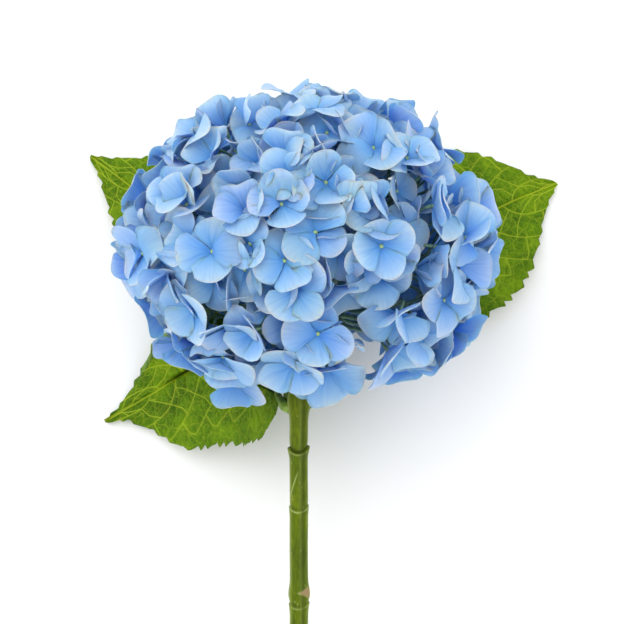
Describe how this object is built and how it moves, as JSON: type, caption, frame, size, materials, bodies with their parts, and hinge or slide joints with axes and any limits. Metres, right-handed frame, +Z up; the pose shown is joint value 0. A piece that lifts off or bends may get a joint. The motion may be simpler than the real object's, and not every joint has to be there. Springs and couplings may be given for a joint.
{
  "type": "cut hydrangea",
  "caption": "Cut flower lying on its side: a globe of overlapping broad-sepalled florets on branching stalks, with serrated leaves on a noded stem.",
  "frame": {"origin": "middle of the footprint's bounding box, on the surface the flower lies on", "axes": "+Z up from the surface, +Y from the cut end of the stem to the flower head, +X to the right seen from the cut end"},
  "size_m": [0.2536, 0.3657, 0.1738],
  "materials": {
    "sepal_blue": "matte",
    "leaf_green": "satin",
    "branch_green": "satin",
    "stem_skin": "satin"
  },
  "bodies": {
    "root": {"stem": "stem_skin", "sprig_01": "sepal_blue", "sprig_02": "sepal_blue", "sprig_03": "sepal_blue", "sprig_04": "sepal_blue", "sprig_05": "sepal_blue", "sprig_06": "sepal_blue", "sprig_07": "sepal_blue", "sprig_08": "sepal_blue", "sprig_09": "sepal_blue", "sprig_10": "sepal_blue", "sprig_11": "sepal_blue", "sprig_12": "sepal_blue", "sprig_13": "sepal_blue", "sprig_14": "sepal_blue", "sprig_15": "sepal_blue", "sprig_16": "sepal_blue", "sprig_17": "sepal_blue", "sprig_18": "sepal_blue", "sprig_19": "sepal_blue", "sprig_20": "sepal_blue", "sprig_21": "sepal_blue", "sprig_22": "sepal_blue", "sprig_23": "sepal_blue", "sprig_24": "sepal_blue", "sprig_25": "sepal_blue", "sprig_26": "sepal_blue", "sprig_27": "sepal_blue", "sprig_28": "sepal_blue", "sprig_29": "sepal_blue", "sprig_30": "sepal_blue", "sprig_31": "sepal_blue", "sprig_32": "sepal_blue", "sprig_33": "sepal_blue", "sprig_34": "sepal_blue", "sprig_35": "sepal_blue", "sprig_36": "sepal_blue", "sprig_37": "sepal_blue", "sprig_38": "sepal_blue", "sprig_39": "sepal_blue", "sprig_40": "sepal_blue", "sprig_41": "sepal_blue", "sprig_42": "sepal_blue", "sprig_43": "sepal_blue", "sprig_44": "sepal_blue", "sprig_45": "sepal_blue", "branch_1": "branch_green", "branch_2": "branch_green", "branch_3": "branch_green", "branch_4": "branch_green", "branch_5": "branch_green", "branch_6": "branch_green", "branch_7": "branch_green", "leaf_lower_left": "leaf_green", "leaf_upper_left": "leaf_green", "leaf_right": "leaf_green"}
  },
  "joints": []
}
